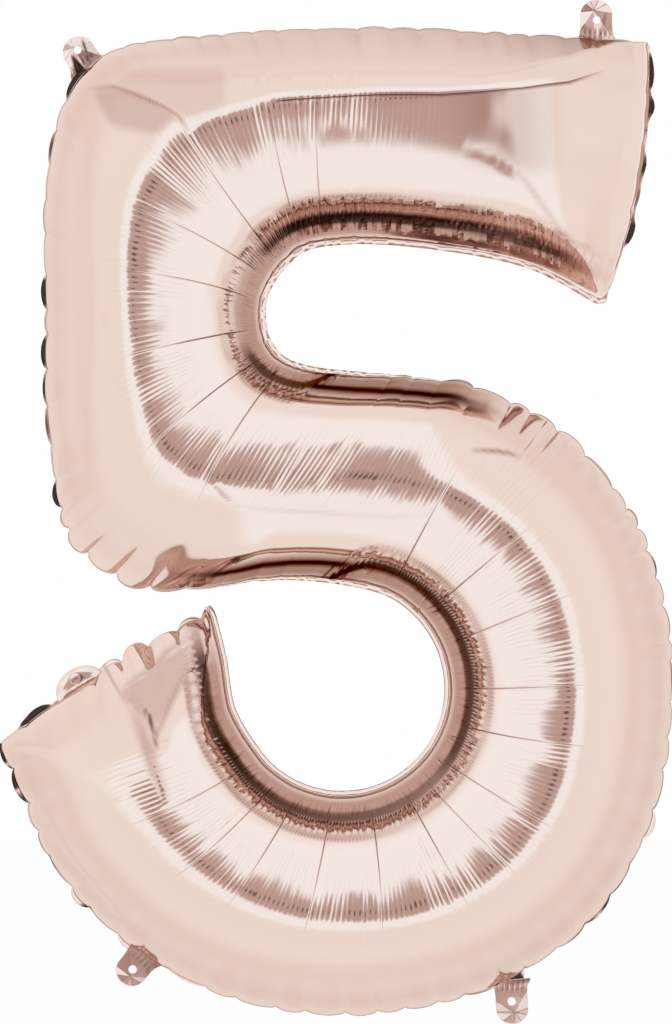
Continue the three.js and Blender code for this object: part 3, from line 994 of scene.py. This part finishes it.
def creases(along, across, apex, seed):
    """Straight folds that fan out from a point of the lobe, with flat facets between them.

    Returns the height, and each facet's painted shade from 0 to 1.
    """
    pick = np.random.default_rng(seed)
    gaps = pick.uniform(0.42, 0.95, 40)
    lines = np.cumsum(gaps)
    lines = lines[lines < 2 * math.pi - 0.2] - math.pi
    ridge = pick.uniform(0.3, 1.0, len(lines)) * (-1.0) ** np.arange(len(lines))
    tones = pick.uniform(0, 1, len(lines) + 1) ** 2
    bearing = np.arctan2(across - apex[1], along - apex[0])
    reach = np.hypot(across - apex[1], along - apex[0])
    height = np.interp(bearing, lines, ridge, period=2 * math.pi) * np.minimum(reach, 14) * 0.13
    return height, tones[np.searchsorted(lines, bearing)] * smooth(0.0, 2.0, reach)


def film_lobe(name, node, place, shape, material):
    """One welded film lobe that stands on the rim."""
    root, angle = place
    along, across, height, ribs, shade, bearing, wall = shape
    x, z = in_row_frame(root, angle, along, across)
    points = np.stack((x, height, z), axis=-1)
    masks = {"rib_depth": ribs, "shade": shade}
    piece = film_piece(name, points, masks, bearing[:, 0], across * MM, 1, closed=True)
    only(piece)
    bpy.ops.object.mode_set(mode="EDIT")
    bpy.ops.mesh.select_all(action="SELECT")
    bpy.ops.mesh.remove_doubles(threshold=0.00002)
    bpy.ops.mesh.normals_make_consistent(inside=False)
    bpy.ops.object.mode_set(mode="OBJECT")
    thicken(piece, wall, 0.0)
    piece.data.materials.append(material)
    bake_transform(piece)
    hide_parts(node)
    return piece


def hanging_tab(body, material):
    """A tab with a punched hole, creased where it leaves the rim."""
    root, angle, length, crinkle = TABS[body]
    outline = lobe_outline(TAB_HALF_WIDTH, length, 6.0)
    along, across, bearing, _ = lobe_grid(outline, HOLE_FROM_ROOT, HOLE_RADIUS)
    free = smooth(-3, 4, along)
    height, tone = creases(along, across, (0.72 * length, 2.0), int(angle))
    gathers = ridges(across, 4.4) * np.exp(-((along + 1) / 5) ** 2)
    curl = 0.0022 * crinkle * across ** 2 * smooth(6, 24, along)
    wedge = smooth(1, 4, across - 0.25 * along) * smooth(13, 10, across + 0.3 * along)
    crumpled = smooth(0.8, 1.0, crinkle)
    # Painted shade: a dark patch at the root, a dark streak, darker facets and dark lines in the
    # root gathers.
    root_shade = wedge * smooth(17, 12, along) * crumpled
    streak = np.exp(-((across + 6 + 0.2 * (along - 12)) / 1.5) ** 2) * smooth(24, 16, along)
    shade = np.maximum(root_shade, 0.9 * streak * crumpled)
    shade = np.maximum(np.maximum(shade, 0.7 * tone * crinkle), 0.4 * gathers)
    height = crinkle * (height + 0.8 * gathers) * free - curl
    shape = (along, across, height, np.zeros_like(along), shade, bearing, 0.5)
    place = (root, angle)
    return film_lobe(TAB_NODES[body] + "_film", TAB_NODES[body], place, shape, material)


def neck_ply(side, material):
    """One ply of the filling neck: the front one has the round inlet in it."""
    front = side == "front"
    outline = lobe_outline(NECK_HALF_WIDTH, NECK_LENGTH, 4.0)
    hole = INLET_RADIUS if front else 0.0
    along, across, bearing, share = lobe_grid(outline, INLET_FROM_ROOT, hole)
    puff = np.broadcast_to(1 - share ** 2, along.shape) * smooth(-4, 3, along)
    rays = ridges(bearing * 9, 4.2) * smooth(0.25, 0.6, share) * smooth(12, 4, along)
    height = (0.7 + 2.4 * puff + 0.35 * rays * smooth(-2, 3, along)) * (-1 if front else 1)
    # Painted shade: a dark arc on one side of the inlet's rim, and faint dark lines along the rays.
    at_side = smooth(0.3, 0.9, np.cos(bearing + 2.2))
    shade = (1 - smooth(0.02, 0.10, share)) * at_side + 0.12 * rays
    shape = (along, across, height, np.zeros_like(along), shade, bearing * 18, 0.4)
    name = "fill_neck_" + side
    return film_lobe(name, name + "_ply", (NECK_ROOT, NECK_ANGLE), shape, material)


def valve_strip(side, material):
    """One of the two clear films of the self-closing valve, inside the envelope."""
    sign = -1 if side == "front" else 1
    along = np.tile(-np.linspace(14, 134, 61)[:, None], (1, 13))
    half = 15 - 3 * (np.abs(along) - 14) / 120
    across = half * np.linspace(-1, 1, 13)
    lie = 0.25 * uneven(along / 13 + 20, 61) * smooth(14, 40, -along)
    x, z = in_row_frame(NECK_ROOT, NECK_ANGLE, along, across)
    points = np.stack((x, sign * 0.7 + lie, z), axis=-1)
    masks = {"shade": np.zeros_like(along)}
    piece = film_piece("valve_" + side, points, masks, along[:, 0], across, sign)
    thicken(piece, 0.2, 0.0)
    piece.data.materials.append(material)
    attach(piece, "envelope")
    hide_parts("valve_film_" + side)
    return piece


front_foil = foil_material("rose_gold_front_foil", 0.11)
back_foil = foil_material("rose_gold_back_foil", 0.11)
tab_foil = foil_material("rose_gold_tab_foil", 0.15)
valve_film = valve_film_material()
foil_panel("front_foil_panel", "front_panel", -1, front_foil)
foil_panel("back_foil_panel", "back_panel", 1, back_foil)
for tab in TABS:
    hanging_tab(tab, tab_foil)
for side in ("front", "back"):
    neck_ply(side, tab_foil)
    valve_strip(side, valve_film)


# ---- studio ------------------------------------------------------------------------------
def plain_material(name, colour, roughness):
    """An even, matt colour."""
    material = bpy.data.materials.new(name)
    material.use_nodes = True
    shader = material.node_tree.nodes["Principled BSDF"]
    shader.inputs["Base Color"].default_value = colour
    shader.inputs["Roughness"].default_value = roughness
    return material


def floor():
    """The pale floor that the balloon hangs over."""
    bpy.ops.mesh.primitive_plane_add(size=14.0, location=(0, 0, -0.62))
    plane = bpy.context.active_object
    plane.name = "studio_floor"
    plane.data.materials.append(plain_material("pale_floor", (0.99, 0.89, 0.85, 1), 0.9))
    plane.visible_glossy = False


LENS = 240                       # millimetres
BLACK = (0.03, 0.025, 0.022, 1)
BROWN = (0.58, 0.48, 0.47, 1)
WHITE = (1.06, 1.27, 1.40, 1)
PALE = (1.0, 1.09, 1.13, 1)
DIM = (0.96, 1.0, 1.01, 1)


def studio_light():
    """A white tent, the same in front and behind: dark at the middle, then a bright ring."""
    world = bpy.data.worlds.new("studio")
    bpy.context.scene.world = world
    world.use_nodes = True
    nodes, links = world.node_tree.nodes, world.node_tree.links
    sky = nodes["Background"]
    place = nodes.new("ShaderNodeTexCoord")
    split = nodes.new("ShaderNodeSeparateXYZ")
    links.new(place.outputs["Generated"], split.inputs[0])
    away = nodes.new("ShaderNodeMath")
    away.operation = "ABSOLUTE"
    links.new(split.outputs["Y"], away.inputs[0])
    angle = nodes.new("ShaderNodeMath")
    angle.operation = "ARCCOSINE"
    links.new(away.outputs[0], angle.inputs[0])
    ramp = nodes.new("ShaderNodeMapRange")
    ramp.inputs["From Max"].default_value = math.pi / 2
    links.new(angle.outputs[0], ramp.inputs["Value"])
    tone = nodes.new("ShaderNodeValToRGB")
    links.new(ramp.outputs[0], tone.inputs[0])
    stops = (
        (0.0, BLACK), (0.028, BLACK), (0.035, BROWN), (0.145, BROWN), (0.20, WHITE),
        (0.44, WHITE), (0.56, PALE), (0.90, PALE), (1.0, DIM),
    )
    bands = tone.color_ramp.elements
    bands[0].position, bands[1].position = 0.0, 1.0
    for position, _ in stops[1:-1]:
        bands.new(position)
    for band, (position, light) in zip(bands, stops):
        band.position = position
        band.color = light
    seen = nodes.new("ShaderNodeLightPath")
    plain = nodes.new("ShaderNodeMix")
    plain.data_type = "RGBA"
    links.new(seen.outputs["Is Camera Ray"], plain.inputs[0])
    links.new(tone.outputs[0], plain.inputs[6])
    plain.inputs[7].default_value = (1.0, 1.0, 1.0, 1)
    links.new(plain.outputs[2], sky.inputs["Color"])


def camera():
    """A long lens, square on to the front, at the distance that frames the full height."""
    data = bpy.data.cameras.new("camera")
    data.lens = LENS
    eye = bpy.data.objects.new("camera", data)
    bpy.context.scene.collection.objects.link(eye)
    tall = (CAD_BOX[1] - CAD_BOX[0]).z
    eye.location = (0.0, -tall * data.lens / data.sensor_width, 0.0)
    eye.rotation_euler = (math.pi / 2, 0, 0)
    bpy.context.scene.camera = eye
    data.clip_end = 50
    bpy.context.scene.view_settings.view_transform = "Standard"


floor()
studio_light()
camera()
